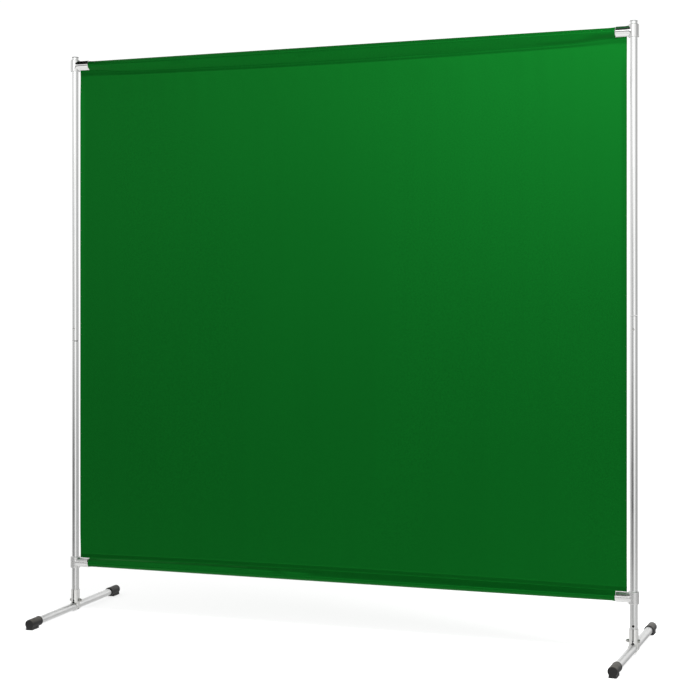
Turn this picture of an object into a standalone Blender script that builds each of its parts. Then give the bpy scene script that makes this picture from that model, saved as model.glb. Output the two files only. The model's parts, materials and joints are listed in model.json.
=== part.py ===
"""Welding curtain screen: a film curtain on two cross bars, held by two uprights that stand in clamped feet.

Metres, +X along the width, +Z up, the front at -Y, the origin on the floor midway between the uprights.
Each upright and each bar is two tubes that plug together. An upright's plug is locked by a snap button.
"""

from math import acos, cos, pi, radians, sin

import bmesh
import bpy
from mathutils import Matrix, Vector

# Whole screen
FRAME_HEIGHT = 2.0
UPRIGHT_SPACING = 2.0
FOOT_LENGTH = 0.67
FOOT_TOE_IN = radians(2.4)

# Fits
GAP = 0.0003
FILM_CLEARANCE = 0.0005
WELD = 0.000001

# Tubes
TUBE_DIAMETER = 0.0254
TUBE_WALL = 0.0012
PLAIN_TUBE_LENGTH = 1.02
NECK_LENGTH = 0.078
TAPER_LENGTH = 0.0025
HOLE_FROM_END = 0.0425
TUBE_SEGMENTS = 32
CROSSING_SEGMENTS = 28
SMALL_SEGMENTS = 16
ROUNDING_STEPS = 3
BLEND_STEPS = 4
BEND_STEPS = 8
SHARP_ANGLE = radians(35)

# Snap button and its leaf spring
BUTTON_DIAMETER = 0.007
BUTTON_STAND_OUT = 0.0026
BUTTON_HEAD_RADIUS = 0.0046
BUTTON_HEAD_THICKNESS = 0.001
BUTTON_ROUNDING = 0.0015
SPRING_THICKNESS = 0.0006
SPRING_WIDTH = 0.008
SPRING_DEPTH = 0.036
SPRING_OVERHANG = 0.007
SPRING_BEND_RADIUS = 0.003

# End plug on top of an upright
PLUG_FLANGE = 0.003
PLUG_STEM = 0.014
PLUG_CHAMFER = 0.0011

# Tee fittings
TOP_BAR_DROP = 0.032
BOTTOM_BAR_HEIGHT = 0.1775
TEE_SLEEVE_WALL = 0.0042
TEE_SLEEVE_HEIGHT = 0.040
TEE_ARM_WALL = 0.0033
TEE_ARM_REACH = 0.056
TEE_WEB = 0.0055
TEE_BLEND_REACH = 0.007
TEE_CHAMFER = 0.0009
SET_SCREW_DIAMETER = 0.0058
SET_SCREW_STAND_OUT = 0.0014
SET_SCREW_SOCKET = 0.0017
SET_SCREW_SOCKET_DEPTH = 0.0025

# Foot caps
CAP_WALL = 0.0025
CAP_LENGTH = 0.068
CAP_END = 0.005
CAP_ROUNDING = 0.0028
CAP_LIP = 0.0006
CAP_LIP_LENGTH = 0.005
PAD_DROP = 0.0041
PAD_WIDTH = 0.0225
PAD_FLARE = 0.0008
PAD_FLARE_HEIGHT = 0.0025
PAD_LENGTH = 0.048
PAD_SET_BACK = 0.0008

# Foot clamps
CLAMP_WALL = 0.0021
CLAMP_GRIP = 0.033
CLAMP_SADDLE_LENGTH = 0.034
CLAMP_SEAM = 0.0016
CLAMP_NOTCH_RADIUS = 0.0032
CLAMP_MOUTH_RADIUS = 0.005
BOLT_DIAMETER = 0.006
BOLT_ROOM_BELOW = 0.0052
BOLT_ROOM_ABOVE = 0.003
BOLT_END = 0.0035
HEX_ACROSS_FLATS = 0.010
HEAD_THICKNESS = 0.004
NUT_THICKNESS = 0.005
WASHER_DIAMETER = 0.012
WASHER_THICKNESS = 0.0014

# Curtain
CURTAIN_EDGE_CLEARANCE = 0.0085
CURTAIN_THICKNESS = 0.001
POCKET_WALL = 0.0008
POCKET_END_CLEARANCE = 0.0015
TOP_SEAM_DROP = 0.043
BOTTOM_SEAM_RISE = 0.035
NOTCH_CLEARANCE = 0.0008
POCKET_ARC_STEPS = 16

# Worked out from the sizes above
TUBE_RADIUS = TUBE_DIAMETER / 2
BORE_RADIUS = TUBE_RADIUS - TUBE_WALL
NECK_RADIUS = BORE_RADIUS - GAP
NECK_BORE_RADIUS = NECK_RADIUS - TUBE_WALL
SOCKET_RADIUS = TUBE_RADIUS + GAP
BUTTON_HOLE_RADIUS = BUTTON_DIAMETER / 2 + GAP
BUTTON_HEAD_FACE = (NECK_BORE_RADIUS**2 - BUTTON_HEAD_RADIUS**2) ** 0.5 - 2 * GAP
TOP_BAR_HEIGHT = FRAME_HEIGHT - TOP_BAR_DROP
SLEEVE_RADIUS = SOCKET_RADIUS + TEE_SLEEVE_WALL
ARM_RADIUS = SOCKET_RADIUS + TEE_ARM_WALL
ARM_BORE_START = SOCKET_RADIUS + TEE_WEB
CAP_RADIUS = SOCKET_RADIUS + CAP_WALL
FOOT_AXIS_HEIGHT = CAP_RADIUS + PAD_DROP
CLAMP_RADIUS = SOCKET_RADIUS + CLAMP_WALL
SADDLE_BORE_RADIUS = SOCKET_RADIUS + GAP
SADDLE_RADIUS = SADDLE_BORE_RADIUS + CLAMP_WALL
BOLT_HEIGHT = FOOT_AXIS_HEIGHT + TUBE_RADIUS + BOLT_ROOM_BELOW + BOLT_DIAMETER / 2
UPRIGHT_FOOT = BOLT_HEIGHT + BOLT_DIAMETER / 2 + BOLT_ROOM_ABOVE
UPRIGHT_TOP = FRAME_HEIGHT - PLUG_FLANGE - GAP
CLAMP_TOP = UPRIGHT_FOOT + CLAMP_GRIP
BAR_END = UPRIGHT_SPACING / 2 - ARM_BORE_START - GAP
POCKET_HALF_WIDTH = UPRIGHT_SPACING / 2 - TEE_ARM_REACH - POCKET_END_CLEARANCE
CURTAIN_HALF_WIDTH = UPRIGHT_SPACING / 2 - TUBE_RADIUS - CURTAIN_EDGE_CLEARANCE

TO_X = Matrix.Rotation(pi / 2, 4, "Y")
TO_FRONT = Matrix.Rotation(pi / 2, 4, "X")
TO_BACK = Matrix.Rotation(-pi / 2, 4, "X")


def clear_scene():
    for thing in list(bpy.data.objects):
        bpy.data.objects.remove(thing)


def new_material(name, colour, roughness, metallic):
    material = bpy.data.materials.new(name)
    material.use_nodes = True
    shader = material.node_tree.nodes["Principled BSDF"]
    shader.inputs["Base Color"].default_value = (*colour, 1)
    shader.inputs["Roughness"].default_value = roughness
    shader.inputs["Metallic"].default_value = metallic
    return material


def new_object(name, bm, material=None):
    """A named object with the faces of bm turned outwards."""
    bmesh.ops.recalc_face_normals(bm, faces=bm.faces)
    mesh = bpy.data.meshes.new(name)
    bm.to_mesh(mesh)
    bm.free()
    thing = bpy.data.objects.new(name, mesh)
    bpy.context.collection.objects.link(thing)
    if material:
        mesh.materials.append(material)
    return thing


def turned(name, profile, turn=None, material=None, segments=TUBE_SEGMENTS):
    """A profile of (radius, height) pairs turned about Z, then turned about by a matrix.

    A profile that starts and ends on the axis makes a solid, and any other one is closed into a ring.
    """
    bm = bmesh.new()
    points = [bm.verts.new((radius, 0, height)) for radius, height in profile]
    solid = profile[0][0] == 0 and profile[-1][0] == 0
    ends = points[1:] if solid else points[1:] + points[:1]
    edges = [bm.edges.new(pair) for pair in zip(points, ends)]
    bmesh.ops.spin(
        bm, geom=points + edges, cent=(0, 0, 0), axis=(0, 0, 1), angle=2 * pi, steps=segments, use_merge=True
    )
    bmesh.ops.remove_doubles(bm, verts=bm.verts, dist=WELD)
    if turn:
        bmesh.ops.transform(bm, matrix=turn, verts=bm.verts)
    return new_object(name, bm, material)


def rod(name, radius, start, end, turn=None, material=None, segments=TUBE_SEGMENTS):
    """A plain round bar from height start to end, along Z before the turn."""
    return turned(name, [(0, start), (radius, start), (radius, end), (0, end)], turn, material, segments)


def prism(name, outline, start, end, turn=None, material=None):
    """An outline of (x, y) pairs pulled along Z from start to end."""
    bm = bmesh.new()
    face = bm.faces.new([bm.verts.new((x, y, start)) for x, y in outline])
    pulled = bmesh.ops.extrude_face_region(bm, geom=[face])
    raised = [item for item in pulled["geom"] if isinstance(item, bmesh.types.BMVert)]
    bmesh.ops.translate(bm, verts=raised, vec=(0, 0, end - start))
    if turn:
        bmesh.ops.transform(bm, matrix=turn, verts=bm.verts)
    return new_object(name, bm, material)


def box(name, low, high):
    outline = [(low[0], low[1]), (high[0], low[1]), (high[0], high[1]), (low[0], high[1])]
    return prism(name, outline, low[2], high[2])


def hexagon(across_flats):
    corner = across_flats / 2 / cos(pi / 6)
    return [(corner * cos(i * pi / 3), corner * sin(i * pi / 3)) for i in range(6)]


def combined(piece, tool, operation):
    """The piece after a Boolean with the tool, which is used up."""
    modifier = piece.modifiers.new("shape", "BOOLEAN")
    modifier.operation = operation
    modifier.object = tool
    bpy.context.view_layer.update()
    shaped = piece.evaluated_get(bpy.context.evaluated_depsgraph_get())
    mesh = bpy.data.meshes.new_from_object(shaped)
    bm = bmesh.new()
    bm.from_mesh(mesh)
    bmesh.ops.remove_doubles(bm, verts=bm.verts, dist=WELD)
    bmesh.ops.dissolve_degenerate(bm, edges=bm.edges, dist=WELD)
    bm.to_mesh(mesh)
    bm.free()
    piece.modifiers.clear()
    piece.data = mesh
    bpy.data.objects.remove(tool)
    return piece


def joined(piece, *tools):
    for tool in tools:
        combined(piece, tool, "UNION")
    return piece


def cut(piece, *tools):
    for tool in tools:
        combined(piece, tool, "DIFFERENCE")
    return piece


def place(piece, name, location, turn=(0, 0, 0), parent=None):
    piece.data.shade_smooth()
    piece.data.set_sharp_from_angle(angle=SHARP_ANGLE)
    piece.name = name
    piece.data.name = name
    piece.location = location
    piece.rotation_euler = turn
    piece.parent = parent
    return piece


def pivot(name, location, turn=0.0):
    """An empty on a joint's axis, which carries the pieces that move about it."""
    empty = bpy.data.objects.new(name, None)
    empty.location = location
    empty.rotation_euler = (0, 0, turn)
    bpy.context.collection.objects.link(empty)
    return empty


def front_hole(height, radius):
    """A cutter for a hole in a tube's front wall, from its axis outwards."""
    line = Matrix.Translation((0, 0, height)) @ TO_FRONT
    return rod("hole", radius, 0, 2 * TUBE_RADIUS, line, None, SMALL_SEGMENTS)


def plain_tube(material, length, button_holes):
    """A straight tube that stands on its origin, with a button hole near each end if it takes a button."""
    profile = [(BORE_RADIUS, 0), (TUBE_RADIUS, 0), (TUBE_RADIUS, length), (BORE_RADIUS, length)]
    tube = turned("plain_tube", profile, None, material)
    if button_holes:
        cut(tube, front_hole(HOLE_FROM_END, BUTTON_HOLE_RADIUS))
        cut(tube, front_hole(length - HOLE_FROM_END, BUTTON_HOLE_RADIUS))
    return tube


def necked_tube(material, length, button_hole):
    """A tube that stands on its origin and ends in a neck, above length, that fits a plain tube's mouth."""
    taper = length - TAPER_LENGTH
    profile = [
        (BORE_RADIUS, 0),
        (TUBE_RADIUS, 0),
        (TUBE_RADIUS, taper),
        (BORE_RADIUS, length),
        (NECK_RADIUS, length),
        (NECK_RADIUS, length + NECK_LENGTH),
        (NECK_BORE_RADIUS, length + NECK_LENGTH),
        (NECK_BORE_RADIUS, length),
        (BORE_RADIUS, taper - TUBE_WALL),
    ]
    tube = turned("necked_tube", profile, None, material)
    if button_hole:
        cut(tube, front_hole(length + HOLE_FROM_END + GAP, BUTTON_HOLE_RADIUS))
    return tube


def button(material):
    """A snap button that points forward, with its origin on the tube's axis."""
    radius = BUTTON_DIAMETER / 2
    tip = TUBE_RADIUS + BUTTON_STAND_OUT
    back = BUTTON_HEAD_FACE - BUTTON_HEAD_THICKNESS
    head = [(0, back), (BUTTON_HEAD_RADIUS, back), (BUTTON_HEAD_RADIUS, BUTTON_HEAD_FACE)]
    profile = head + [(radius, BUTTON_HEAD_FACE)]
    for step in range(ROUNDING_STEPS + 1):
        angle = step * pi / 2 / ROUNDING_STEPS
        reach = radius - BUTTON_ROUNDING + BUTTON_ROUNDING * cos(angle)
        profile.append((reach, tip - BUTTON_ROUNDING + BUTTON_ROUNDING * sin(angle)))
    profile.append((0, tip))
    return turned("button", profile, TO_FRONT, material, SMALL_SEGMENTS)


def leaf_spring(material):
    """A V of spring strip: a leg behind the button's head, the bend deeper down, a leg on the back wall."""
    half = SPRING_THICKNESS / 2
    front = -(BUTTON_HEAD_FACE - BUTTON_HEAD_THICKNESS - GAP - half)
    back = (NECK_BORE_RADIUS**2 - (SPRING_WIDTH / 2) ** 2) ** 0.5 - GAP - half
    bend_centre = Vector((0, -SPRING_DEPTH))
    line = [Vector((front, SPRING_OVERHANG)), Vector((front, -SPRING_OVERHANG))]
    for step in range(BEND_STEPS + 1):
        angle = pi + step * pi / BEND_STEPS
        line.append(bend_centre + SPRING_BEND_RADIUS * Vector((cos(angle), sin(angle))))
    line.extend([Vector((back, -SPRING_OVERHANG)), Vector((back, SPRING_OVERHANG))])
    sides = []
    for before, point, after in zip(line[:1] + line[:-1], line, line[1:] + line[-1:]):
        along = (after - before).normalized()
        sides.append((point, Vector((-along.y, along.x)) * half))
    outline = [point + off for point, off in sides] + [point - off for point, off in reversed(sides)]
    stand = Matrix(((0, 0, 1, 0), (1, 0, 0, 0), (0, 1, 0, 0), (0, 0, 0, 1)))
    return prism("leaf_spring", outline, -SPRING_WIDTH / 2, SPRING_WIDTH / 2, stand, material)


def end_plug(material):
    """A plug whose flange rests on the tube's end. Its origin is under the flange."""
    stem = BORE_RADIUS - GAP
    profile = [
        (0, -PLUG_STEM),
        (stem - PLUG_CHAMFER, -PLUG_STEM),
        (stem, PLUG_CHAMFER - PLUG_STEM),
        (stem, 0),
        (TUBE_RADIUS, 0),
        (TUBE_RADIUS, PLUG_FLANGE - PLUG_CHAMFER),
        (TUBE_RADIUS - PLUG_CHAMFER, PLUG_FLANGE),
        (0, PLUG_FLANGE),
    ]
    return turned("end_plug", profile, None, material)


def tee_arm(direction, material):
    """The arm of a tee, swollen at its root to the sleeve's height, along +X or -X."""
    root = TEE_SLEEVE_HEIGHT / 2 - 2 * TEE_CHAMFER
    blend_end = SLEEVE_RADIUS + TEE_BLEND_REACH
    rings = [(SOCKET_RADIUS / 2, root)]
    for step in range(BLEND_STEPS + 1):
        share = step / BLEND_STEPS
        along = SOCKET_RADIUS / 2 + TEE_WEB + share * (blend_end - SOCKET_RADIUS / 2 - TEE_WEB)
        rings.append((along, ARM_RADIUS + (root - ARM_RADIUS) * (0.5 + 0.5 * cos(pi * share))))
    rings.append((TEE_ARM_REACH - TEE_CHAMFER, ARM_RADIUS))
    bm = bmesh.new()
    loops = []
    for along, half_height in rings + [(TEE_ARM_REACH, 0)]:
        chamfered = half_height == 0
        wide = ARM_RADIUS - TEE_CHAMFER if chamfered else ARM_RADIUS
        tall = wide if chamfered else half_height
        loop = []
        for i in range(CROSSING_SEGMENTS):
            angle = 2 * pi * i / CROSSING_SEGMENTS
            loop.append(bm.verts.new((direction * along, wide * cos(angle), tall * sin(angle))))
        loops.append(loop)
    for near, far in zip(loops, loops[1:]):
        for i in range(CROSSING_SEGMENTS):
            j = (i + 1) % CROSSING_SEGMENTS
            bm.faces.new((near[i], near[j], far[j], far[i]))
    bm.faces.new(loops[0])
    bm.faces.new(loops[-1])
    return new_object("tee_arm", bm, material)


def tee(direction, material):
    """A sleeve round the upright, an arm for a bar and a screw hole, with the origin where the axes cross."""
    half = TEE_SLEEVE_HEIGHT / 2
    inner = SLEEVE_RADIUS - TEE_CHAMFER
    profile = [
        (0, -half),
        (inner, -half),
        (SLEEVE_RADIUS, TEE_CHAMFER - half),
        (SLEEVE_RADIUS, half - TEE_CHAMFER),
        (inner, half),
        (0, half),
    ]
    fitting = turned("tee", profile, None, material)
    joined(fitting, tee_arm(direction, material))
    arm_turn = TO_X if direction > 0 else TO_X.inverted()
    cut(
        fitting,
        rod("upright_bore", SOCKET_RADIUS, -2 * half, 2 * half),
        rod("bar_bore", SOCKET_RADIUS, ARM_BORE_START, 2 * TEE_ARM_REACH, arm_turn, None, CROSSING_SEGMENTS),
        rod("screw_hole", SET_SCREW_DIAMETER / 2 + GAP, 0, 2 * SLEEVE_RADIUS, TO_BACK, None, SMALL_SEGMENTS),
    )
    return fitting


def set_screw(material):
    """A headless screw through a tee's back wall, with a hexagon socket."""
    tip = SOCKET_RADIUS
    end = SLEEVE_RADIUS + SET_SCREW_STAND_OUT
    screw = rod("set_screw", SET_SCREW_DIAMETER / 2, tip, end, TO_BACK, material, SMALL_SEGMENTS)
    socket = prism("socket", hexagon(2 * SET_SCREW_SOCKET), end - SET_SCREW_SOCKET_DEPTH, 2 * end, TO_BACK)
    return cut(screw, socket)


def foot_cap(material):
    """A rubber cap with its closed end at the origin, its mouth towards +Y and a flat pad under it."""
    rounding = []
    for step in range(ROUNDING_STEPS + 1):
        angle = step * pi / 2 / ROUNDING_STEPS
        reach = CAP_RADIUS - CAP_ROUNDING + CAP_ROUNDING * sin(angle)
        rounding.append((reach, CAP_ROUNDING - CAP_ROUNDING * cos(angle)))
    lip_start = CAP_LENGTH - CAP_LIP_LENGTH
    lip_radius = CAP_RADIUS + CAP_LIP
    lip = [(CAP_RADIUS, lip_start - CAP_LIP), (lip_radius, lip_start), (lip_radius, CAP_LENGTH - CAP_LIP)]
    profile = [(0, 0), *rounding, *lip, (CAP_RADIUS, CAP_LENGTH), (0, CAP_LENGTH)]
    cap = turned("foot_cap", profile, TO_BACK, material)
    half = PAD_WIDTH / 2
    flare = half + PAD_FLARE
    floor = -FOOT_AXIS_HEIGHT
    right_side = [(flare, floor), (flare, floor + PAD_FLARE_HEIGHT / 2), (half, floor + PAD_FLARE_HEIGHT)]
    right_side.append((half, -SOCKET_RADIUS / 2))
    outline = right_side + [(-x, z) for x, z in reversed(right_side)]
    pad = prism("pad", [(x, -z) for x, z in outline], PAD_SET_BACK, PAD_LENGTH, TO_BACK, material)
    joined(cap, pad)
    return cut(cap, rod("tube_bore", SOCKET_RADIUS, CAP_END, 2 * CAP_LENGTH, TO_BACK))


def clamp_half(side, material):
    """Half of the pressed clamp, split on the plane of the upright and the foot. Its origin is on the floor."""
    across = Matrix.Translation((0, 0, FOOT_AXIS_HEIGHT)) @ TO_BACK
    bolt_line = Matrix.Translation((0, 0, BOLT_HEIGHT))
    half_saddle = CLAMP_SADDLE_LENGTH / 2
    mouth_line = Matrix.Translation((0, 0, FOOT_AXIS_HEIGHT + TUBE_RADIUS))
    far = 2 * SADDLE_RADIUS
    shell = rod("clamp", CLAMP_RADIUS, FOOT_AXIS_HEIGHT, CLAMP_TOP, None, material)
    joined(shell, rod("saddle", SADDLE_RADIUS, -half_saddle, half_saddle, across, None, CROSSING_SEGMENTS))
    low = (min(-side * far, side * CLAMP_SEAM / 2), -far, -far)
    high = (max(-side * far, side * CLAMP_SEAM / 2), far, 2 * CLAMP_TOP)
    cut(
        shell,
        rod("upright_bore", SOCKET_RADIUS, FOOT_AXIS_HEIGHT, 2 * CLAMP_TOP),
        rod("foot_bore", SADDLE_BORE_RADIUS, -far, far, across, None, CROSSING_SEGMENTS),
        box("other_half", low, high),
        rod("bolt_hole", BOLT_DIAMETER / 2 + GAP, -far, far, bolt_line @ TO_X, None, SMALL_SEGMENTS),
        rod("notch", CLAMP_NOTCH_RADIUS, -far, far, bolt_line @ TO_BACK, None, SMALL_SEGMENTS),
        rod("mouth", CLAMP_MOUTH_RADIUS, -far, far, mouth_line @ TO_BACK, None, SMALL_SEGMENTS),
    )
    return shell


def clamp_bolt(material):
    """A hexagon bolt whose head is outside, at +X, and whose end is past the nut."""
    head = CLAMP_RADIUS + GAP
    end = head + WASHER_THICKNESS + GAP + NUT_THICKNESS + BOLT_END
    radius = BOLT_DIAMETER / 2
    shank = rod("clamp_bolt", radius, -end, head + HEAD_THICKNESS / 2, TO_X, material, SMALL_SEGMENTS)
    cap = prism("head", hexagon(HEX_ACROSS_FLATS), head, head + HEAD_THICKNESS, TO_X, material)
    return joined(shank, cap)


def clamp_washer(material):
    bore = BOLT_DIAMETER / 2 + GAP
    near = -(CLAMP_RADIUS + GAP)
    far = near - WASHER_THICKNESS
    profile = [(bore, far), (WASHER_DIAMETER / 2, far), (WASHER_DIAMETER / 2, near), (bore, near)]
    return turned("clamp_washer", profile, TO_X, material, SMALL_SEGMENTS)


def clamp_nut(material):
    near = -(CLAMP_RADIUS + WASHER_THICKNESS + 2 * GAP)
    nut = prism("clamp_nut", hexagon(HEX_ACROSS_FLATS), near - NUT_THICKNESS, near, TO_X, material)
    radius = BOLT_DIAMETER / 2 + GAP
    bore = rod("thread", radius, near - 2 * NUT_THICKNESS, near + NUT_THICKNESS, TO_X, None, SMALL_SEGMENTS)
    return cut(nut, bore)


def teardrop(radius, drop):
    """A round top tangent to two straight sides that meet at a point, drop below the centre."""
    edge = acos(radius / drop)
    outline = [(0, -drop)]
    for step in range(POCKET_ARC_STEPS + 1):
        angle = edge + step * 2 * (pi - edge) / POCKET_ARC_STEPS
        outline.append((radius * sin(angle), -radius * cos(angle)))
    return outline


def pocket(name, height, drop, half_width, radius):
    """A teardrop prism along X round a bar's axis. A negative drop puts its point above the bar."""
    up = 1 if drop > 0 else -1
    outline = [(y, height + up * z) for y, z in teardrop(radius, abs(drop))]
    along = Matrix(((0, 0, 1, 0), (1, 0, 0, 0), (0, 1, 0, 0), (0, 0, 0, 1)))
    return prism(name, outline, -half_width, half_width, along)


def curtain(material):
    """The film: a flat panel, tabs beside the tee arms, and a pocket round each bar."""
    inner = TUBE_RADIUS + FILM_CLEARANCE
    outer = inner + POCKET_WALL
    top_seam = TOP_BAR_HEIGHT - TOP_SEAM_DROP + CURTAIN_THICKNESS
    bottom_seam = BOTTOM_BAR_HEIGHT + BOTTOM_SEAM_RISE - CURTAIN_THICKNESS
    tab_top = TOP_BAR_HEIGHT - ARM_RADIUS - NOTCH_CLEARANCE
    tab_bottom = BOTTOM_BAR_HEIGHT + ARM_RADIUS + NOTCH_CLEARANCE
    right_side = [
        (POCKET_HALF_WIDTH, bottom_seam),
        (POCKET_HALF_WIDTH, tab_bottom),
        (CURTAIN_HALF_WIDTH, tab_bottom),
        (CURTAIN_HALF_WIDTH, tab_top),
        (POCKET_HALF_WIDTH, tab_top),
        (POCKET_HALF_WIDTH, top_seam),
    ]
    outline = right_side + [(-x, z) for x, z in reversed(right_side)]
    half = CURTAIN_THICKNESS / 2
    film = prism("curtain", outline, -half, half, TO_FRONT, material)
    for height, drop in ((TOP_BAR_HEIGHT, TOP_SEAM_DROP), (BOTTOM_BAR_HEIGHT, -BOTTOM_SEAM_RISE)):
        loop = pocket("pocket", height, drop, POCKET_HALF_WIDTH, outer)
        cut(loop, pocket("bar_space", height, drop * inner / outer, 2 * POCKET_HALF_WIDTH, inner))
        joined(film, loop)
    return film


def build_upright(side, word, materials):
    """Both tubes of one upright, its plug, its snap button and spring, and its tees."""
    x = side * UPRIGHT_SPACING / 2
    necked_length = UPRIGHT_TOP - UPRIGHT_FOOT - PLAIN_TUBE_LENGTH - GAP
    plain = plain_tube(materials["tube"], PLAIN_TUBE_LENGTH, True)
    necked = necked_tube(materials["tube"], necked_length, True)
    if side < 0:
        mouth = UPRIGHT_FOOT + necked_length
        place(necked, f"{word}_upright_lower", (x, 0, UPRIGHT_FOOT))
        place(plain, f"{word}_upright_upper", (x, 0, mouth + GAP))
        button_height = mouth + GAP + HOLE_FROM_END
        flip = 0
    else:
        mouth = UPRIGHT_FOOT + PLAIN_TUBE_LENGTH
        place(plain, f"{word}_upright_lower", (x, 0, UPRIGHT_FOOT))
        place(necked, f"{word}_upright_upper", (x, 0, UPRIGHT_TOP), (0, pi, 0))
        button_height = mouth - HOLE_FROM_END
        flip = pi
    place(end_plug(materials["plug"]), f"{word}_end_plug", (x, 0, UPRIGHT_TOP + GAP))
    place(leaf_spring(materials["steel"]), f"{word}_button_spring", (x, 0, button_height), (0, flip, 0))
    carrier = pivot(f"{word}_button_slide", (x, 0, button_height))
    place(button(materials["steel"]), f"{word}_snap_button", (0, 0, 0), (0, 0, 0), carrier)
    for level, height in (("upper", TOP_BAR_HEIGHT), ("lower", BOTTOM_BAR_HEIGHT)):
        place(tee(-side, materials["fitting"]), f"{word}_{level}_tee", (x, 0, height))
        place(set_screw(materials["steel"]), f"{word}_{level}_set_screw", (x, 0, height))


def build_foot(side, word, materials):
    """One foot: a tube with two caps, and the clamp that holds it to the upright.

    It is built with its outer side at +X. The left foot is the same one turned half round.
    """
    half_turn = 0 if side > 0 else pi
    swivel = pivot(f"{word}_foot_swivel", (side * UPRIGHT_SPACING / 2, 0, 0), half_turn - side * FOOT_TOE_IN)
    tube_length = FOOT_LENGTH - 2 * (CAP_END + GAP)
    tube = plain_tube(materials["tube"], tube_length, False)
    axis = FOOT_AXIS_HEIGHT
    place(tube, f"{word}_foot_tube", (0, tube_length / 2, axis), (pi / 2, 0, 0), swivel)
    for end, turn in ((-1, 0), (1, pi)):
        name = f"{word}_front_foot_cap" if end * side < 0 else f"{word}_rear_foot_cap"
        cap = foot_cap(materials["rubber"])
        place(cap, name, (0, end * FOOT_LENGTH / 2, axis), (0, 0, turn), swivel)
    for half, half_name in ((1, "outer"), (-1, "inner")):
        shell = clamp_half(half, materials["fitting"])
        place(shell, f"{word}_clamp_{half_name}_shell", (0, 0, 0), (0, 0, 0), swivel)
    for maker in (clamp_bolt, clamp_washer, clamp_nut):
        fastener = maker(materials["steel"])
        place(fastener, f"{word}_{maker.__name__}", (0, 0, BOLT_HEIGHT), (0, 0, 0), swivel)


def build_bar(word, height, materials):
    """A cross bar in two tubes, from tee to tee, with the plain half at the left."""
    necked_length = 2 * BAR_END - PLAIN_TUBE_LENGTH - GAP
    left = plain_tube(materials["tube"], PLAIN_TUBE_LENGTH, False)
    right = necked_tube(materials["tube"], necked_length, False)
    place(left, f"{word}_bar_plain_half", (-BAR_END, 0, height), (0, pi / 2, 0))
    place(right, f"{word}_bar_necked_half", (BAR_END, 0, height), (0, -pi / 2, 0))


def build_screen():
    materials = {
        "tube": new_material("zinc_tube", (0.62, 0.63, 0.63), 0.3, 1),
        "fitting": new_material("zinc_fitting", (0.7, 0.7, 0.69), 0.22, 1),
        "steel": new_material("bright_steel", (0.55, 0.55, 0.54), 0.3, 1),
        "plug": new_material("grey_plug", (0.42, 0.43, 0.42), 0.45, 0),
        "rubber": new_material("black_rubber", (0.02, 0.02, 0.02), 0.6, 0),
        "film": new_material("green_film", (0.01, 0.13, 0.02), 0.25, 0),
    }
    for side, word in ((-1, "left"), (1, "right")):
        build_upright(side, word, materials)
        build_foot(side, word, materials)
    build_bar("top", TOP_BAR_HEIGHT, materials)
    build_bar("bottom", BOTTOM_BAR_HEIGHT, materials)
    place(curtain(materials["film"]), "curtain", (0, 0, 0))


clear_scene()
build_screen()
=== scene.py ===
"""The looks of the welding curtain screen: its film curtain, its materials and a plain studio.

Metres, in the CAD frame's own axes: +X along the width, +Z up, the front at -Y.
"""

import json
from math import acos, cos, hypot, pi, radians, sin

import bmesh
import bpy
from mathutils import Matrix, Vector, noise

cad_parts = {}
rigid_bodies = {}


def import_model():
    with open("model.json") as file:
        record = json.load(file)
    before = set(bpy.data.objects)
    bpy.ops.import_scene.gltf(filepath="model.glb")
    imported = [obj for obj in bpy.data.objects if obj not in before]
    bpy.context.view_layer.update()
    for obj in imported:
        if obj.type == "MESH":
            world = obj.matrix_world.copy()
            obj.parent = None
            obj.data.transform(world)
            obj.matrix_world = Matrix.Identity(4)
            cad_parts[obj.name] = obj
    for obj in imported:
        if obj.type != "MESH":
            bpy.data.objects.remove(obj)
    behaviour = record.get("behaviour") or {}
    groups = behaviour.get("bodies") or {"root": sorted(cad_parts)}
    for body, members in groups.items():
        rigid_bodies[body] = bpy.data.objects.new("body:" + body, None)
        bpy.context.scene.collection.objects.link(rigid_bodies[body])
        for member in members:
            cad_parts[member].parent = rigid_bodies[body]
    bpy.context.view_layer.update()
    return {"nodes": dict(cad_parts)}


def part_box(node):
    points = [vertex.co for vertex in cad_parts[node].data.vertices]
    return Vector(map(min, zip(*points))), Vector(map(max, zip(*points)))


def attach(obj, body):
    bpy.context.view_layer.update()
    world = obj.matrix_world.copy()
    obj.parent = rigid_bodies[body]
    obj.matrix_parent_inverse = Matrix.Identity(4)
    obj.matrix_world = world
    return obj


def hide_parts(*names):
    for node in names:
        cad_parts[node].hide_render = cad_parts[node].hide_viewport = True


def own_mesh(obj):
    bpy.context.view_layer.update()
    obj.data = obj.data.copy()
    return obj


# Camera, from a lens fitted to the screen's own proportions
CAMERA_PLACE = (1.670, -4.632, 1.078)
CAMERA_AZIMUTH = 19.27
CAMERA_LENS_MM = 74.8
SENSOR_MM = 36.0
CAMERA_SHIFT_Y = -0.0536
CAMERA_REACH = 200.0

# Studio floor and lamp
BACKGROUND = 1.06
FLOOR_HALF_SIZE = 60.0
FLOOR_GREYS = (0.29, 0.31)
FLOOR_GLOW = 0.72
KEY_LIGHT_PLACE = (1.6, -0.85, 2.9)
KEY_LIGHT_AIM = (1.2, 0.0, 1.75)
KEY_LIGHT_SIZE = (2.0, 0.4)
KEY_LIGHT_WATTS = 230

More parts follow.
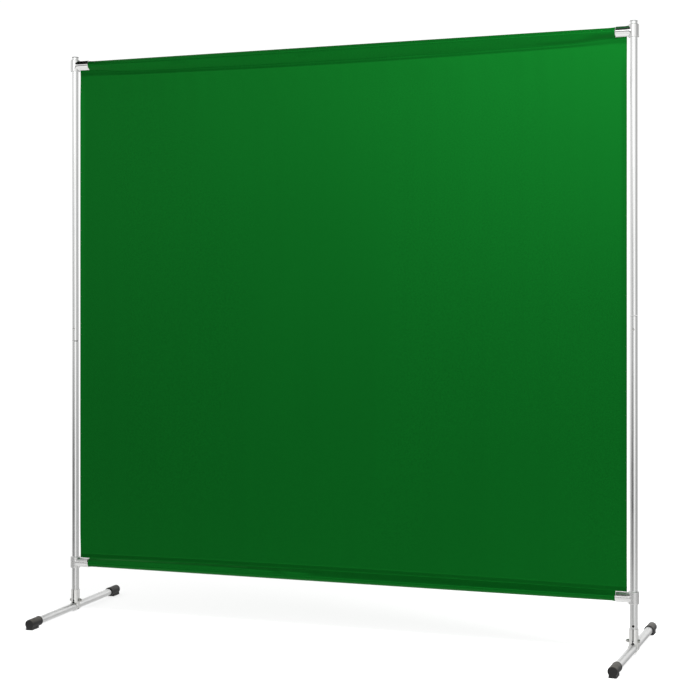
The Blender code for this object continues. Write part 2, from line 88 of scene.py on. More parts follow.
# What reflections see of the studio. Walls are (azimuth in degrees, brightness) stops, 0 at the front, 90 at +X
HIGH_WALLS = (
    (-180, 0.70), (-150, 0.76), (-115, 0.80), (-90, 0.80), (-62, 0.68), (-42, 0.62), (-24, 1.00), (-9, 1.75),
    (6, 1.10), (24, 1.05), (47, 0.80), (78, 0.40), (100, 0.46), (130, 0.60), (155, 0.70), (180, 0.70),
)
MIDDLE_WALLS = (
    (-180, 0.65), (-150, 0.78), (-115, 0.85), (-90, 0.80), (-60, 0.62), (-34, 0.42), (-10, 0.46), (6, 0.72),
    (24, 1.05), (47, 0.80), (78, 0.32), (100, 0.45), (130, 0.52), (155, 0.55), (180, 0.65),
)
LOW_WALLS = (
    (-180, 0.55), (-150, 0.70), (-115, 0.72), (-90, 0.58), (-58, 0.22), (-30, 0.06), (-7, 0.07), (8, 0.45),
    (24, 0.90), (47, 0.78), (76, 0.22), (98, 0.36), (130, 0.45), (155, 0.50), (180, 0.55),
)

# The bands between the walls and below them: (upward part of the view direction where one starts, and is full)
MIDDLE_WALLS_BAND = (-0.12, -0.01)
HIGH_WALLS_BAND = (0.02, 0.16)
SKIRTING_BAND = (-0.14, -0.22)
NEAR_FLOOR_BAND = (-0.26, -0.38)
FLOOR_EDGE_BAND = (-0.56, -0.66)
UNDERFOOT_BAND = (-0.84, -0.92)
SKIRTING = 0.55
NEAR_FLOOR = 1.0
FLOOR_EDGE = 0.85
UNDERFOOT = 1.0

# The wall straight behind the screen, and where the view direction points enough to the back to meet it
BEHIND_REACH = (0.78, 0.86)
BEHIND_LOW_BAND = (-0.04, -0.14)
BEHIND_LOW = 0.34
BEHIND_HIGH_BAND = (-0.02, 0.08)
BEHIND_HIGH = 0.95

# The dark ceiling: over the walls, to the right of a direction, and at first only in front. It is green straight above
CEILING_BAND = (0.32, 0.43)
CEILING_SIDE = (-0.41, -0.32)
CEILING_FRONT = (0.75, 0.45)
CEILING_ALL_ROUND = (0.55, 0.65)
CEILING = 0.03
ZENITH_BAND = (0.84, 0.90)
ZENITH = (0.015, 0.11, 0.03, 1)

# A black card over the left end of the screen
CARD_LOW = (-1.7, -0.42)
CARD_HIGH = (-1.02, 0.25)
CARD_HEIGHT = 2.16

# Painted shade: the near-black colour painted on steel that no light reaches, and how close to a pole's axis the clamp
# hides a foot tube and a bolt, which get this painted shade there
PAINTED_SHADE_STEEL = (0.02, 0.019, 0.017, 1)
FOOT_PAINTED_SHADE_RADIUS = 0.0165
BOLT_PAINTED_SHADE_RADIUS = 0.0125
SHADE_EDGE = 0.0005

# Where the shade in a bore, under a clamp or in its slit starts, and is full: metres inside the tube's surface,
# below the clamp's top, outside the tube's surface, and from the slit's middle
TUBE_BORE_SHADE = (0.0007, 0.0011)
CLAMP_COVER_SHADE = (0.0005, 0.002)
CLAMP_BORE_SHADE = (0.0011, 0.0005)
CLAMP_SLIT_SHADE = (0.0018, 0.0013)

# Curtain film: its colours, and how much of its light comes through it
FILM_PALE = (0.0013, 0.050, 0.0052, 1)
FILM_DEEP = (0.0010, 0.041, 0.0042, 1)
FILM_STREAK = (0.0008, 0.033, 0.0034, 1)
FILM_SHEEN = (0.035, 1.0, 0.105, 1)
SEE_THROUGH = 0.5

# Its pockets: gaps to a bar and to the flap behind, seams measured from a bar's axis, and how far things lean or bow
FILM_GAP = 0.0009
FLAP = 0.0008
SEAM_BAND = 0.014
TOP_SEAM_AT_ENDS = 0.040
TOP_SEAM_SAG = 0.010
BOTTOM_SEAM_AT_ENDS = 0.032
BOTTOM_SEAM_RISE = 0.0065
SEAM_RIPPLE = 0.0006
BAND_RIPPLE = 0.0010
TOP_LEAN = 0.0012
BOTTOM_LEAN = 0.0003
WELD_GROOVE = 0.0004
POCKET_CREASE = 0.0007
BAND_END_REACH = 0.14
BAND_END_FLAT = 0.012
POCKET_BOW = 0.0016
SLACK_BOW = 0.0030
SLACK_FULL = -0.22
SLACK_PINCH = -0.20
SLACK_PINCH_REACH = 0.045
SLACK_PINCH_SHARE = 0.7
POCKET_FLARE = 0.0009
FLARE_REACH = 0.022
SLOPE_FULL_LENGTH = 0.012

# Its panel: long waves, short pleats along the seams, and side edges that curl
PANEL_WAVE = 0.0016
WAVE_CALM_REACH = 0.10
PLEAT_DEPTH = 0.0005
PLEAT_LENGTH = 0.16
PLEAT_START = 0.02
PLEAT_CALM_REACH = 0.1
EDGE_CURL = 0.0022
EDGE_CURL_REACH = 0.022

# How finely it is divided: columns across, then rows from the seams outwards
COLUMN_STEP = 0.0075
TAB_COLUMNS = (0.2, 0.42, 0.65, 0.85, 1.0)
PANEL_STEP = 0.011
SEAM_STEPS = (0.0015, 0.004, 0.0075)
ARC_ROWS = 16
SLOPE_ROWS = 7
BAND_ROWS = 4

# CAD nodes are smooth apart from edges that bend by more than this. Tubes have softer shoulders that stay sharp too
SHARP_ANGLE = radians(35)
TUBE_SHARP_ANGLE = radians(20)
WELD_DISTANCE = 0.000002


def clear_scene():
    """Removes what Blender starts with."""
    for thing in list(bpy.data.objects):
        bpy.data.objects.remove(thing)


def smoothstep(low, high, value):
    share = min(max((value - low) / (high - low), 0.0), 1.0)
    return share * share * (3 - 2 * share)


def ripple(*place):
    """Smooth noise from -1 to 1 at a place of up to three coordinates."""
    return noise.noise(Vector((*place, 0.0, 0.0)[:3]))


# ---------------------------------------------------------------- node trees


class Tree:
    """A node tree under construction."""

    def __init__(self, node_tree):
        self.tree = node_tree

    def add(self, kind, inputs=None, **settings):
        node = self.tree.nodes.new(kind)
        for name, value in settings.items():
            setattr(node, name, value)
        for name, value in (inputs or {}).items():
            self.feed(node.inputs[name], value)
        return node

    def feed(self, socket, value):
        if isinstance(value, bpy.types.NodeSocket):
            self.tree.links.new(value, socket)
        else:
            socket.default_value = value

    def maths(self, operation, *values, clamp=False):
        node = self.add("ShaderNodeMath", operation=operation, use_clamp=clamp)
        for socket, value in zip(node.inputs, values):
            self.feed(socket, value)
        return node.outputs[0]

    def remap(self, value, low, high, to_low, to_high, smooth=True):
        kind = "SMOOTHSTEP" if smooth else "LINEAR"
        names = {"Value": value, "From Min": low, "From Max": high, "To Min": to_low, "To Max": to_high}
        return self.add("ShaderNodeMapRange", names, interpolation_type=kind).outputs["Result"]

    def within(self, value, band):
        """A share that goes smoothly from 0 at a band's first value to 1 at its second, which may be lower."""
        start, full = band
        if start < full:
            return self.remap(value, start, full, 0.0, 1.0)
        return self.remap(value, full, start, 1.0, 0.0)

    def mix(self, share, first, second):
        node = self.add("ShaderNodeMix", data_type="RGBA")
        self.feed(node.inputs[0], share)
        self.feed(node.inputs[6], first)
        self.feed(node.inputs[7], second)
        return node.outputs[2]

    def axes(self, vector):
        return self.add("ShaderNodeSeparateXYZ", {"Vector": vector}).outputs

    def place(self, scale=(1, 1, 1)):
        coordinates = self.add("ShaderNodeTexCoord").outputs["Object"]
        return self.add("ShaderNodeMapping", {"Vector": coordinates, "Scale": scale}).outputs[0]

    def noise(self, scale, stretch=(1, 1, 1), detail=3.0, rough=0.5):
        names = {"Vector": self.place(stretch), "Scale": scale, "Detail": detail, "Roughness": rough}
        return self.add("ShaderNodeTexNoise", names).outputs["Fac"]

    def bump(self, height, distance, strength=1.0, normal=None):
        names = {"Height": height, "Distance": distance, "Strength": strength}
        if normal:
            names["Normal"] = normal
        return self.add("ShaderNodeBump", names).outputs["Normal"]

    def from_pole(self):
        """How far a point is across, and away, from the axis of the pole on its side."""
        places = self.axes(self.place())
        across = self.maths("SUBTRACT", self.maths("ABSOLUTE", places["X"]), POLE_X)
        across_squared = self.maths("MULTIPLY", across, across)
        depth_squared = self.maths("MULTIPLY", places["Y"], places["Y"])
        radius = self.maths("SQRT", self.maths("ADD", across_squared, depth_squared))
        return self.maths("ABSOLUTE", across), radius, places["Z"]

    def shade_near_pole(self, colour, reach):
        """The colour, with painted shade, all but black, within a reach of a pole's axis."""
        painted_shade_near = self.remap(self.from_pole()[1], reach - SHADE_EDGE, reach + SHADE_EDGE, 1.0, 0.0)
        return self.mix(painted_shade_near, colour, PAINTED_SHADE_STEEL)


def grey(value, tint=(1, 1, 1)):
    return (value * tint[0], value * tint[1], value * tint[2], 1)


def new_material(name):
    """A new material, its tree and its Principled shader."""
    material = bpy.data.materials.new(name)
    material.use_nodes = True
    return material, Tree(material.node_tree), material.node_tree.nodes["Principled BSDF"]


# ---------------------------------------------------------------- metals, rubber, plastic


def zinc_tube(name, along, bright, matt, rough, inside=False, painted_shade_radius=None):
    """Zinc plated tube with draw lines along one axis, patchy between two greys.

    inside paints shade into a pole's bore and onto what its clamp covers, and the last argument paints shade on what
    lies so close to a pole's axis.
    """
    material, tree, shader = new_material(name)
    lines = tuple(0.02 if axis == along else 1.0 for axis in "XYZ")
    cloud = tree.noise(9.0, detail=4.0)
    fine = tree.noise(900.0, lines, detail=2.0)
    broad = tree.noise(160.0, lines, detail=3.0)
    colour = tree.mix(cloud, grey(bright, (1.0, 1.0, 0.995)), grey(matt, (0.99, 1.0, 0.99)))
    colour = tree.mix(tree.remap(broad, 0.48, 0.75, 0.0, 0.22), colour, grey(0.7 * matt, (0.98, 1.0, 1.0)))
    # Painted shade in a pole's bore and on what its clamp covers
    if inside:
        radius, height = tree.from_pole()[1:]
        bore = tree.within(radius, [TUBE_RADIUS - depth for depth in TUBE_BORE_SHADE])
        covered_painted_shade = tree.within(height, [CLAMP_TOP - depth for depth in CLAMP_COVER_SHADE])
        colour = tree.mix(tree.maths("MAXIMUM", bore, covered_painted_shade), colour, PAINTED_SHADE_STEEL)
    # Painted shade on what lies close to a pole's axis, inside the clamp
    if painted_shade_radius:
        colour = tree.shade_near_pole(colour, painted_shade_radius)
    tree.feed(shader.inputs["Base Color"], colour)
    shader.inputs["Metallic"].default_value = 1.0
    tree.feed(shader.inputs["Roughness"], tree.remap(fine, 0.3, 0.7, rough - 0.03, rough + 0.05))
    normal = tree.bump(fine, 0.000006, 0.5)
    tree.feed(shader.inputs["Normal"], tree.bump(broad, 0.00001, 0.5, normal))
    return material


def cast_fitting(name, bright, dull, rough, ripple_depth):
    """Plated casting, with a faint ripple and duller spots."""
    material, tree, shader = new_material(name)
    waves = tree.noise(55.0, detail=2.0)
    spots = tree.noise(420.0, detail=3.0)
    colour = tree.mix(tree.remap(spots, 0.5, 0.8, 0.0, 0.6), grey(bright, (1, 1, 0.99)), grey(dull, (1, 1, 0.97)))
    tree.feed(shader.inputs["Base Color"], colour)
    shader.inputs["Metallic"].default_value = 1.0
    tree.feed(shader.inputs["Roughness"], tree.remap(spots, 0.35, 0.75, rough, rough + 0.12))
    normal = tree.bump(waves, ripple_depth, 0.5)
    tree.feed(shader.inputs["Normal"], tree.bump(spots, 0.00001, 0.5, normal))
    return material


def pressed_clamp():
    """Zinc plated pressed steel, satin and slightly warm, with painted shade, near black, in its bore and in the slit
    between its halves.
    """
    material, tree, shader = new_material("pressed_clamp")
    cloud = tree.noise(60.0, detail=4.0)
    grain = tree.noise(700.0, detail=2.0)
    edge = tree.add("ShaderNodeNewGeometry").outputs["Pointiness"]
    worn = tree.remap(edge, 0.5, 0.6, 0.0, 0.5)
    colour = tree.mix(cloud, grey(0.84, (1.0, 1.0, 0.955)), grey(0.95, (1.0, 1.0, 0.965)))
    colour = tree.mix(worn, colour, grey(0.98))
    across, radius, _ = tree.from_pole()
    bore = tree.within(radius, [TUBE_RADIUS + gap for gap in CLAMP_BORE_SHADE])
    slit = tree.within(across, CLAMP_SLIT_SHADE)
    # Painted shade: near black in the clamp's bore and in its slit
    colour = tree.mix(tree.maths("MAXIMUM", bore, slit), colour, grey(0.03, (1.0, 0.96, 0.85)))
    tree.feed(shader.inputs["Base Color"], colour)
    shader.inputs["Metallic"].default_value = 1.0
    tree.feed(shader.inputs["Roughness"], tree.remap(grain, 0.3, 0.7, 0.28, 0.42))
    tree.feed(shader.inputs["Normal"], tree.bump(grain, 0.00002, 0.5))
    return material


def fastener_steel():
    """Plain turned steel for bolts, screws, springs and buttons, with painted shade on what lies close to a pole's
    axis.
    """
    material, tree, shader = new_material("fastener_steel")
    cloud = tree.noise(240.0, detail=4.0)
    grain = tree.noise(1500.0, detail=2.0)
    colour = tree.mix(cloud, grey(0.50, (1, 0.98, 0.93)), grey(0.72, (1, 1, 0.97)))
    # Painted shade on steel close to a pole's axis, where the clamp hides a bolt
    tree.feed(shader.inputs["Base Color"], tree.shade_near_pole(colour, BOLT_PAINTED_SHADE_RADIUS))
    shader.inputs["Metallic"].default_value = 1.0
    tree.feed(shader.inputs["Roughness"], tree.remap(grain, 0.3, 0.7, 0.22, 0.42))
    tree.feed(shader.inputs["Normal"], tree.bump(grain, 0.00003, 0.5))
    return material


def grey_plug():
    """Moulded silver grey plastic with a fine spark-eroded grain."""
    material, tree, shader = new_material("moulded_plug")
    cloud = tree.noise(80.0, detail=3.0)
    grain = tree.noise(1800.0, detail=2.0)
    tree.feed(shader.inputs["Base Color"], tree.mix(cloud, grey(0.27, (0.98, 1, 0.99)), grey(0.36, (0.98, 1, 0.99))))
    shader.inputs["Metallic"].default_value = 0.85
    tree.feed(shader.inputs["Roughness"], tree.remap(grain, 0.3, 0.7, 0.22, 0.34))
    tree.feed(shader.inputs["Normal"], tree.bump(grain, 0.00002, 0.6))
    return material


def black_rubber():
    """Matt black rubber: fine grain, moulding rings along the cap, and a paler brownish grey on what faces up that is
    partly dust and partly a painted highlight.
    """
    material, tree, shader = new_material("moulded_rubber")
    cloud = tree.noise(45.0, detail=4.0)
    grain = tree.noise(1300.0, detail=3.0)
    rings = tree.noise(420.0, (0.01, 1.0, 0.01), detail=1.0)
    facing = tree.axes(tree.add("ShaderNodeNewGeometry").outputs["Normal"])
    # Paler brownish grey on what faces up: partly dust, partly a painted highlight on the tops
    dust_and_top_highlight = tree.maths("MULTIPLY", tree.remap(facing["Z"], 0.1, 0.9, 0.0, 1.0), tree.remap(cloud, 0.2, 0.7, 0.5, 1.0))
    colour = tree.mix(cloud, grey(0.006), grey(0.011, (1, 0.98, 0.95)))
    tree.feed(shader.inputs["Base Color"], tree.mix(dust_and_top_highlight, colour, grey(0.050, (1, 0.93, 0.84))))
    tree.feed(shader.inputs["Roughness"], tree.remap(grain, 0.3, 0.7, 0.42, 0.62))
    shader.inputs["Specular IOR Level"].default_value = 0.35
    normal = tree.bump(grain, 0.00006, 0.6)
    tree.feed(shader.inputs["Normal"], tree.bump(rings, 0.0002, 0.4, normal))
    return material


def smooth_shading(sharp_angle):
    """A modifier tree that shades a CAD node smooth, apart from edges that bend by more than an angle."""
    group = bpy.data.node_groups.new("smooth_shading", "GeometryNodeTree")
    group.interface.new_socket("Geometry", in_out="INPUT", socket_type="NodeSocketGeometry")
    group.interface.new_socket("Geometry", in_out="OUTPUT", socket_type="NodeSocketGeometry")
    tree = Tree(group)
    start, end = tree.add("NodeGroupInput"), tree.add("NodeGroupOutput")
    plain = tree.add("GeometryNodeRemoveAttribute", {"Geometry": start.outputs[0], "Name": "custom_normal"})
    welded = tree.add("GeometryNodeMergeByDistance", {"Geometry": plain.outputs[0], "Distance": WELD_DISTANCE})
    faces = tree.add("GeometryNodeSetShadeSmooth", {"Geometry": welded.outputs[0], "Shade Smooth": True})
    bend = tree.add("GeometryNodeInputMeshEdgeAngle").outputs["Unsigned Angle"]
    sharp = tree.add("FunctionNodeCompare", {"A": bend, "B": sharp_angle}, operation="GREATER_THAN").outputs[0]
    names = {"Geometry": faces.outputs[0], "Selection": sharp, "Shade Smooth": False}
    edges = tree.add("GeometryNodeSetShadeSmooth", names, domain="EDGE")
    tree.feed(end.inputs[0], edges.outputs[0])
    return group


def dress_frame():
    """Gives every CAD node its material and smooth shading."""
    steel = fastener_steel()
    clamp = pressed_clamp()
    parts = (
        # The uprights get painted shade in their bores and under their clamps
        ("upright", zinc_tube("zinc_upright", "Z", 0.97, 0.92, 0.13, inside=True)),
        ("bar", zinc_tube("zinc_bar", "X", 0.95, 0.86, 0.25)),
        # The foot tubes get painted shade where their clamps hide them
        ("foot_tube", zinc_tube("zinc_foot", "Y", 0.93, 0.86, 0.38, painted_shade_radius=FOOT_PAINTED_SHADE_RADIUS)),
        ("set_screw", steel),
        ("upper_tee", cast_fitting("polished_fitting", 0.82, 0.72, 0.08, 0.00004)),
        ("lower_tee", cast_fitting("satin_fitting", 0.77, 0.66, 0.26, 0.00004)),
        ("clamp_outer_shell", clamp),
        ("clamp_inner_shell", clamp),
        ("clamp", steel),
        ("button", steel),
        ("end_plug", grey_plug()),
        ("foot_cap", black_rubber()),
    )
    fittings, tubes = smooth_shading(SHARP_ANGLE), smooth_shading(TUBE_SHARP_ANGLE)
    for name, node in frame["nodes"].items():
        material = next((material for word, material in parts if word in name), None)
        if material:
            node.data.materials[0] = material
            group = tubes if material.name.startswith("zinc") else fittings
            node.modifiers.new("smooth_shading", "NODES").node_group = group


def squeeze_springs():
    """Gives each leaf spring a mesh of its own."""
    for side in ("left", "right"):
        name = side + "_button_spring"
        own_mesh(frame["nodes"][name])


# ---------------------------------------------------------------- curtain


def near_end(across):
    """How far a place is into the end of a pocket, from 0 to 1."""
    return smoothstep(POCKET_HALF - BAND_END_REACH, POCKET_HALF - BAND_END_FLAT, across)


def seam_heights(up, x):
    """(seam height, band end height) of the pocket above or below the panel at x. up is 1 for the top one."""
    across = min(abs(x), POCKET_HALF)
    arch = 1 - (across / POCKET_HALF) ** 2
    if up > 0:
        bar, drop, end_drop = TOP_BAR, TOP_SEAM_AT_ENDS + TOP_SEAM_SAG * arch, TOP_BAR - TAB_TOP
    else:
        bar, drop, end_drop = BOTTOM_BAR, BOTTOM_SEAM_AT_ENDS + BOTTOM_SEAM_RISE * arch, TAB_BOTTOM - BOTTOM_BAR
    drop += SEAM_RIPPLE * ripple(x * 3.1, 7.0 * up)
    band_drop = drop - SEAM_BAND + BAND_RIPPLE * ripple(x * 5.0, 3.0 * up)
    band_drop += (end_drop - band_drop) * near_end(across)
    return bar - up * drop, bar - up * band_drop


def pocket_bow(up, x):
    """How far the film stands out from the straight line between bar and band, in front."""
    calm = 1 - near_end(abs(x))
    bow = POCKET_BOW * (0.35 + 1.3 * ripple(x * 4.3, 11.0 * up) + 0.6 * ripple(x * 13.0, 5.0 * up))
    pinch = SLACK_PINCH_SHARE * smoothstep(SLACK_PINCH_REACH, 0.0, abs(x - SLACK_PINCH))
    slack = smoothstep(0.0, SLACK_FULL, x) * (1 - pinch)
    return (bow + (SLACK_BOW * slack if up < 0 else 0.0)) * calm


def pocket_profile(up, x):
    """Points (y, z) from the flap's free end behind the panel, round the bar, to the seam in front."""
    bar = TOP_BAR if up > 0 else BOTTOM_BAR
    seam, band = seam_heights(up, x)
    lean = TOP_LEAN if up > 0 else BOTTOM_LEAN
    radius = FILM_RADIUS + POCKET_FLARE * smoothstep(POCKET_HALF - FLARE_REACH, POCKET_HALF, abs(x)) ** 2
    edge = acos(min(radius / abs(bar - band), 1.0))
    touch_y, touch_z = radius * sin(edge), bar - up * radius * cos(edge)
    slope = min(1.0, hypot(touch_y, touch_z - band) / SLOPE_FULL_LENGTH)
    groove = WELD_GROOVE * (0.7 + 0.9 * ripple(x * 38.0, 13.0 * up))
    crease = POCKET_CREASE * (0.6 + 0.7 * ripple(x * 6.0, 17.0 * up)) * slope
    points = [(FLAP - lean * i / BAND_ROWS, seam + (band - seam) * i / BAND_ROWS) for i in range(BAND_ROWS)]
    for i in range(SLOPE_ROWS):
        share = i / SLOPE_ROWS
        push = POCKET_BOW * 0.4 * sin(pi * share) * slope
        points.append((FLAP - lean + (touch_y - FLAP + lean) * share + push, band + (touch_z - band) * share))
    for i in range(ARC_ROWS + 1):
        angle = edge + 2 * (pi - edge) * i / ARC_ROWS
        points.append((radius * sin(angle), bar - up * radius * cos(angle)))
    bow = pocket_bow(up, x) * slope
    for i in range(1, SLOPE_ROWS + 1):
        share = i / SLOPE_ROWS
        push = bow * sin(pi * share ** 1.25) - (crease if i == SLOPE_ROWS else 0.0)
        points.append((-touch_y + (touch_y - lean) * share - push, touch_z + (band - touch_z) * share))
    for i in range(1, BAND_ROWS + 1):
        share = i / BAND_ROWS
        points.append((-lean * (1 - share) + (groove if i == BAND_ROWS else 0.0), band + (seam - band) * share))
    return points


def panel_wave(x, z, top, bottom):
    """How far the panel stands forward of its plane, from its long gentle waves and its curled side edges."""
    calm = smoothstep(0.0, WAVE_CALM_REACH, z - bottom) * smoothstep(0.0, WAVE_CALM_REACH, top - z)
    wave = ripple(x * 1.7, z * 0.45, 1.0) + 0.35 * ripple(x * 4.1, z * 0.9, 4.0)
    pleats = 0.0
    for seam, way in ((top, -1), (bottom, 1)):
        far = way * (z - seam)
        fade = smoothstep(PLEAT_LENGTH, 0.0, far) * smoothstep(0.0, PLEAT_START, far)
        pleats += fade * PLEAT_DEPTH * ripple(x * 24.0, far * 5.0, 9.0 * way)
    curl = smoothstep(PANEL_HALF - EDGE_CURL_REACH, PANEL_HALF, abs(x)) ** 2
    pleats *= smoothstep(PANEL_HALF, PANEL_HALF - PLEAT_CALM_REACH, abs(x))
    return PANEL_WAVE * calm * wave + pleats + EDGE_CURL * calm * curl


def film_columns():
    """X places of the film's columns: even ones over the pockets, then a few over the tabs beside them."""
    count = round(2 * POCKET_HALF / COLUMN_STEP)
    inner = [-POCKET_HALF + 2 * POCKET_HALF * i / count for i in range(count + 1)]
    tab = PANEL_HALF - POCKET_HALF
    outer = [POCKET_HALF + tab * share for share in TAB_COLUMNS]
    return [-x for x in reversed(outer)] + inner + outer


def film_column(x, panel_rows):
    """All points of one column of film, from the top flap's end to the bottom flap's end."""
    top, bottom = pocket_profile(1, x), pocket_profile(-1, x)
    high, low = top[-1][1], bottom[-1][1]
    start, end = high - SEAM_STEPS[-1], low + SEAM_STEPS[-1]
    heights = [high - step for step in SEAM_STEPS]
    heights += [start + (end - start) * i / panel_rows for i in range(1, panel_rows)]
    heights += [low + step for step in reversed(SEAM_STEPS)]
    return top + [(-panel_wave(x, z, high, low), z) for z in heights] + bottom[::-1]


def build_film(material):
    """The film as one open sheet, the size of its middle column laid flat, and its flat area."""
    bm = bmesh.new()
    flat = bm.loops.layers.uv.new("flat")
    columns = film_columns()
    panel_rows = round((TAB_TOP - TAB_BOTTOM) / PANEL_STEP)
    grid = []
    for x in columns:
        points = film_column(x, panel_rows)
        lengths = [0.0]
        for before, after in zip(points, points[1:]):
            lengths.append(lengths[-1] + hypot(after[0] - before[0], after[1] - before[1]))
        grid.append([(bm.verts.new((x, y, z)), length) for (y, z), length in zip(points, lengths)])
    last_row = len(grid[0]) - 1
    pocket_start, pocket_end = BAND_ROWS, BAND_ROWS + 2 * SLOPE_ROWS + ARC_ROWS
    area = 0.0
    for column, (left, right) in enumerate(zip(columns, columns[1:])):
        tab = abs(left + right) / 2 > POCKET_HALF
        for i in range(last_row):
            row = min(i, last_row - 1 - i)
            if tab and pocket_start <= row < pocket_end:
                continue
            corners = [grid[column][i], grid[column][i + 1], grid[column + 1][i + 1], grid[column + 1][i]]
            face = bm.faces.new([vertex for vertex, _ in corners])
            for loop, (_, length), place in zip(face.loops, corners, (left, left, right, right)):
                loop[flat].uv = (place, length)
            area += (right - left) * (corners[1][1] - corners[0][1] + corners[2][1] - corners[3][1]) / 2
    for vertex in [v for v in bm.verts if not v.link_faces]:
        bm.verts.remove(vertex)
    mesh = bpy.data.meshes.new("curtain_film")
    bm.to_mesh(mesh)
    middle_length = grid[len(grid) // 2][-1][1]
    bm.free()
    mesh.shade_smooth()
    mesh.materials.append(material)
    film = bpy.data.objects.new("curtain_film", mesh)
    film.visible_glossy = False
    bpy.context.scene.collection.objects.link(film)
    return film, (2 * PANEL_HALF, middle_length), area


def film_material():
    """Dark green translucent film: it glows with the light behind it, and its gloss is tinted."""
    material, tree, shader = new_material("tinted_film")
    cloud = tree.noise(1.4, (1.0, 1.0, 0.7), detail=2.0)
    rolled = tree.noise(26.0, (1.0, 1.0, 0.03), detail=3.0)
    grain = tree.noise(700.0, detail=2.0)
    peel = tree.noise(60.0, detail=2.0)
    base = tree.mix(cloud, FILM_DEEP, FILM_PALE)
    colour = tree.mix(tree.remap(rolled, 0.35, 0.75, 0.0, 0.12), base, FILM_STREAK)
    tree.feed(shader.inputs["Base Color"], colour)
    tree.feed(shader.inputs["Roughness"], tree.remap(grain, 0.3, 0.7, 0.24, 0.34))
    shader.inputs["IOR"].default_value = 1.8
    shader.inputs["Specular IOR Level"].default_value = 1.0
    shader.inputs["Specular Tint"].default_value = FILM_SHEEN
    normal = tree.bump(peel, 0.0002, 0.35)
    normal = tree.bump(grain, 0.00002, 0.4, normal)
    tree.feed(shader.inputs["Normal"], normal)
    through = tree.add("ShaderNodeBsdfTranslucent", {"Color": colour, "Normal": normal})
    both = tree.add("ShaderNodeMixShader", {0: SEE_THROUGH, 1: shader.outputs[0], 2: through.outputs[0]})
    tree.feed(material.node_tree.nodes["Material Output"].inputs["Surface"], both.outputs[0])
    return material


# ---------------------------------------------------------------- studio


def wall_ramp(tree, azimuth, stops):
    """A smooth ramp over the azimuth, in degrees from -180 to 180, of (azimuth, brightness) stops."""
    share = tree.remap(azimuth, -180.0, 180.0, 0.0, 1.0, smooth=False)
    ramp = tree.add("ShaderNodeValToRGB", {"Fac": share})
    ramp.color_ramp.interpolation = "EASE"
    elements = ramp.color_ramp.elements
    while len(elements) > 1:
        elements.remove(elements[-1])
    for i, (angle, value) in enumerate(stops):
        element = elements[0] if i == 0 else elements.new((angle + 180) / 360)
        element.position = (angle + 180) / 360
        element.color = grey(value)
    return ramp.outputs["Color"]


def build_world():
    """A plain white world. Reflections see a studio in it: bright and dark screens all round, a dark ceiling."""
    world = bpy.data.worlds.new("studio")
    bpy.context.scene.world = world
    world.use_nodes = True
    tree = Tree(world.node_tree)
    x, y, z = tree.axes(tree.add("ShaderNodeTexCoord").outputs["Generated"])
    turn = tree.maths("ARCTAN2", x, tree.maths("MULTIPLY", y, -1.0))
    azimuth = tree.maths("MULTIPLY", turn, 180 / pi)
    high, middle, low = (wall_ramp(tree, azimuth, stops) for stops in (HIGH_WALLS, MIDDLE_WALLS, LOW_WALLS))
    walls = tree.mix(tree.within(z, MIDDLE_WALLS_BAND), low, middle)
    walls = tree.mix(tree.within(z, HIGH_WALLS_BAND), walls, high)
    walls = tree.mix(tree.within(z, SKIRTING_BAND), walls, grey(SKIRTING))
    walls = tree.mix(tree.within(z, NEAR_FLOOR_BAND), walls, grey(NEAR_FLOOR))
    walls = tree.mix(tree.within(z, FLOOR_EDGE_BAND), walls, grey(FLOOR_EDGE))
    walls = tree.mix(tree.within(z, UNDERFOOT_BAND), walls, grey(UNDERFOOT))
    behind = tree.within(y, BEHIND_REACH)
    behind_low = tree.maths("MULTIPLY", behind, tree.within(z, BEHIND_LOW_BAND))
    walls = tree.mix(behind_low, walls, grey(BEHIND_LOW))
    behind_high = tree.maths("MULTIPLY", behind, tree.within(z, BEHIND_HIGH_BAND))
    walls = tree.mix(behind_high, walls, grey(BEHIND_HIGH))
    overhead = tree.maths("MULTIPLY", tree.within(z, CEILING_BAND), tree.within(x, CEILING_SIDE))
    forward = tree.maths("MAXIMUM", tree.within(y, CEILING_FRONT), tree.within(z, CEILING_ALL_ROUND))
    overhead = tree.maths("MULTIPLY", overhead, forward)
    ceiling = tree.mix(tree.within(z, ZENITH_BAND), grey(CEILING), ZENITH)
    studio = tree.mix(overhead, walls, ceiling)
    plain = tree.mix(tree.add("ShaderNodeLightPath").outputs["Is Glossy Ray"], grey(1.0), studio)
    background = world.node_tree.nodes["Background"]
    tree.feed(background.inputs["Color"], plain)
    background.inputs["Strength"].default_value = BACKGROUND


def flat_piece(name, low, high, height, material):
    """A level rectangle that is part of the studio, not of the object."""
    mesh = bpy.data.meshes.new(name)
    corners = [(low[0], low[1]), (high[0], low[1]), (high[0], high[1]), (low[0], high[1])]
    mesh.from_pydata([(x, y, height) for x, y in corners], [], [(0, 1, 2, 3)])
    mesh.materials.append(material)
    piece = bpy.data.objects.new(name, mesh)
    bpy.context.scene.collection.objects.link(piece)
    return piece


def build_floor():
    """A pale floor that glows a little, so that it fades into the background."""
    material, tree, shader = new_material("pale_floor")
    cloud = tree.noise(0.8, detail=2.0)
    tree.feed(shader.inputs["Base Color"], tree.mix(cloud, *[grey(value) for value in FLOOR_GREYS]))
    shader.inputs["Roughness"].default_value = 0.9
    shader.inputs["Specular IOR Level"].default_value = 0.0
    shader.inputs["Emission Color"].default_value = grey(1.0)
    shader.inputs["Emission Strength"].default_value = FLOOR_GLOW
    size = FLOOR_HALF_SIZE
    floor = flat_piece("floor", (-size, -size), (size, size), 0.0, material)
    floor.visible_glossy = False


def build_card():
    """A black card over the screen that only reflections see."""
    material, _, shader = new_material("black_card")
    shader.inputs["Base Color"].default_value = grey(0.0)
    shader.inputs["Specular IOR Level"].default_value = 0.0
    card = flat_piece("black_card", CARD_LOW, CARD_HIGH, CARD_HEIGHT, material)
    card.visible_camera = False
    card.visible_diffuse = False
    card.visible_transmission = False
    card.visible_shadow = False


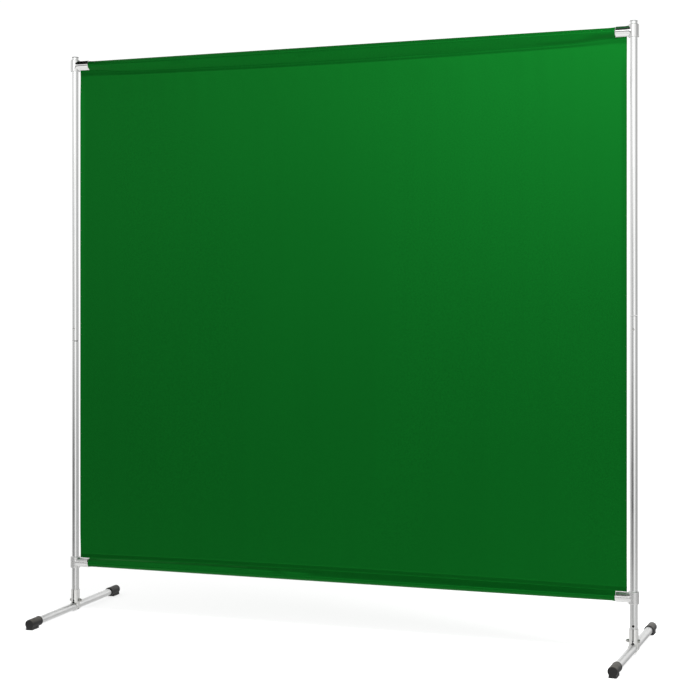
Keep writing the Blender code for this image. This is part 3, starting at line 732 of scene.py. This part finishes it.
def build_lamp():
    """A long soft lamp over the right end of the screen, which lights the film's top corner."""
    light = bpy.data.lights.new("key_light", "AREA")
    light.shape = "RECTANGLE"
    light.size, light.size_y = KEY_LIGHT_SIZE
    light.energy = KEY_LIGHT_WATTS
    lamp = bpy.data.objects.new("key_light", light)
    lamp.location = KEY_LIGHT_PLACE
    aim = Vector(KEY_LIGHT_AIM) - Vector(KEY_LIGHT_PLACE)
    lamp.rotation_euler = aim.to_track_quat("-Z", "Y").to_euler()
    lamp.visible_glossy = False
    bpy.context.scene.collection.objects.link(lamp)


def build_camera():
    """A level camera at the photograph's viewing angle."""
    data = bpy.data.cameras.new("camera")
    data.lens = CAMERA_LENS_MM
    data.sensor_width = SENSOR_MM
    data.shift_y = CAMERA_SHIFT_Y
    data.clip_end = CAMERA_REACH
    camera = bpy.data.objects.new("camera", data)
    camera.location = CAMERA_PLACE
    camera.rotation_euler = (pi / 2, 0, radians(CAMERA_AZIMUTH))
    bpy.context.scene.collection.objects.link(camera)
    bpy.context.scene.camera = camera


# ---------------------------------------------------------------- the scene


clear_scene()
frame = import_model()

pole_low, pole_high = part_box("right_upright_lower")
POLE_X = (pole_low.x + pole_high.x) / 2
TUBE_RADIUS = (pole_high.x - pole_low.x) / 2
CLAMP_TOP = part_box("right_clamp_outer_shell")[1].z
top_low, top_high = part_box("top_bar_plain_half")
bottom_low, bottom_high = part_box("bottom_bar_plain_half")
TOP_BAR = (top_low.z + top_high.z) / 2
BOTTOM_BAR = (bottom_low.z + bottom_high.z) / 2
FILM_RADIUS = TUBE_RADIUS + FILM_GAP
film_corners = [vertex.co for vertex in frame["nodes"]["curtain"].data.vertices]
PANEL_HALF = max(corner.x for corner in film_corners)
POCKET_HALF = max(corner.x for corner in film_corners if corner.z > TOP_BAR)
tab_heights = [corner.z for corner in film_corners if corner.x > PANEL_HALF - 0.001]
TAB_TOP = max(tab_heights)
TAB_BOTTOM = min(tab_heights)

bpy.context.scene.view_settings.view_transform = "Standard"
build_camera()
build_world()
build_floor()
build_card()
build_lamp()
dress_frame()
film, film_size, film_area = build_film(film_material())
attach(film, "frame")
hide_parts("curtain")
squeeze_springs()
